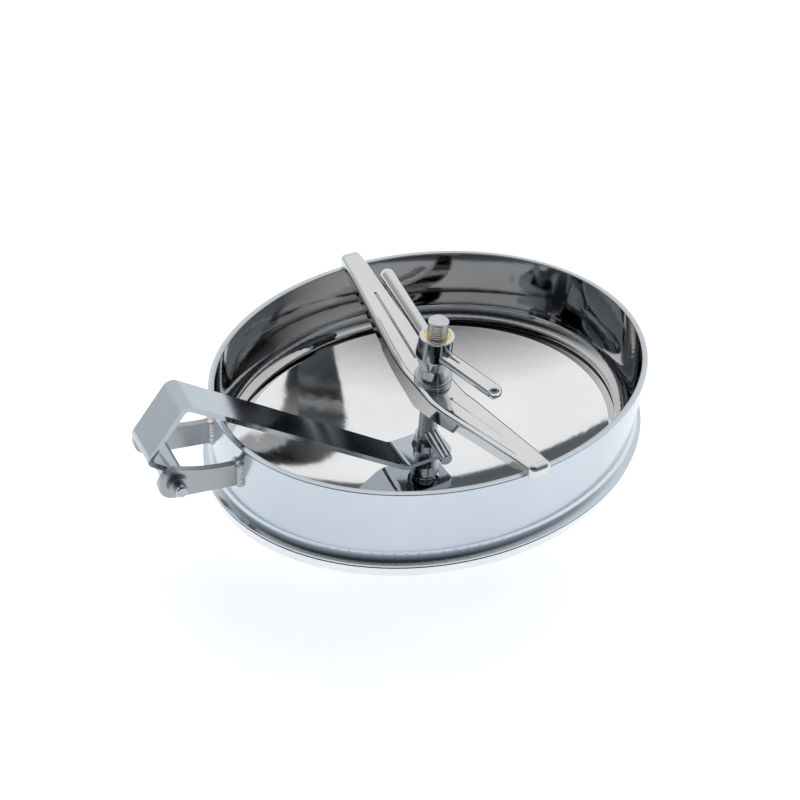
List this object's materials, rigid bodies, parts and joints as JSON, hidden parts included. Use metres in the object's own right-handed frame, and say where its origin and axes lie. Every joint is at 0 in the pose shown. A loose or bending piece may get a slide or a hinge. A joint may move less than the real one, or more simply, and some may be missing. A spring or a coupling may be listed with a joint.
{
  "type": "oval tank manway cover",
  "caption": "Inward-opening oval manway cover with neck ring, dished lid, hinged swing arm, bridge yoke and tee-handled screw nut.",
  "frame": {"origin": "on the oval's axis, in the plane of the neck ring's lower face, which the gasket seals against", "axes": "+X along the oval's long axis, away from the hinge; +Y along the short axis; +Z out of the tank"},
  "size_m": [0.5352, 0.369, 0.1945],
  "materials": {
    "satin_steel": "satin polished",
    "polished_steel": "polished",
    "mirror_steel": "mirror polished",
    "cast_steel": "electropolished casting",
    "stud_steel": "turned",
    "gasket_rubber": "matt",
    "bush_brass": "turned"
  },
  "bodies": {
    "ring": {"neck_ring": "satin_steel", "hinge_lug_front": "satin_steel", "hinge_lug_rear": "satin_steel", "hinge_pin": "polished_steel", "pin_washer": "satin_steel", "pin_clip": "satin_steel"},
    "arm": {"swing_arm": "polished_steel", "hinge_tube": "polished_steel"},
    "carrier": {"arm_sleeve": "polished_steel"},
    "closure": {"lid": "mirror_steel", "gasket": "gasket_rubber", "stud": "stud_steel", "stud_foot": "polished_steel", "turn_grip": "polished_steel"},
    "yoke": {"bridge_yoke": "cast_steel"},
    "nut": {"thrust_washer": "polished_steel", "nut_hub": "cast_steel", "thread_bush": "bush_brass", "handle_bar_front": "cast_steel", "handle_bar_rear": "cast_steel"}
  },
  "joints": [
    {"name": "yoke_swivel", "type": "hinge", "parent": "ring", "child": "yoke", "pos_m": [0, 0, 0.084], "axis": [0, 0, 1], "range_deg": [-60, 60]},
    {"name": "nut_spin", "type": "hinge", "parent": "yoke", "child": "nut", "pos_m": [0, 0, 0.062], "axis": [0, 0, 1], "range_deg": [0, 1800]},
    {"name": "lid_drop", "type": "slide", "parent": "ring", "child": "carrier", "axis": [0, 0, -1], "range_m": [0, 0.0125]},
    {"name": "lid_turn", "type": "hinge", "parent": "carrier", "child": "closure", "pos_m": [0, 0, -0.03], "axis": [0, 0, 1], "range_deg": [-90, 90]},
    {"name": "arm_swing", "type": "hinge", "parent": "ring", "child": "arm", "pos_m": [-0.281, 0, 0.066], "axis": [0, 1, 0], "range_deg": [0, 2.8]}
  ],
  "couplings": [
    {"joint": "nut_spin", "follows": "lid_drop", "rad_per_m": 2513.3},
    {"joint": "arm_swing", "follows": "lid_drop", "rad_per_m": 3.7865}
  ]
}
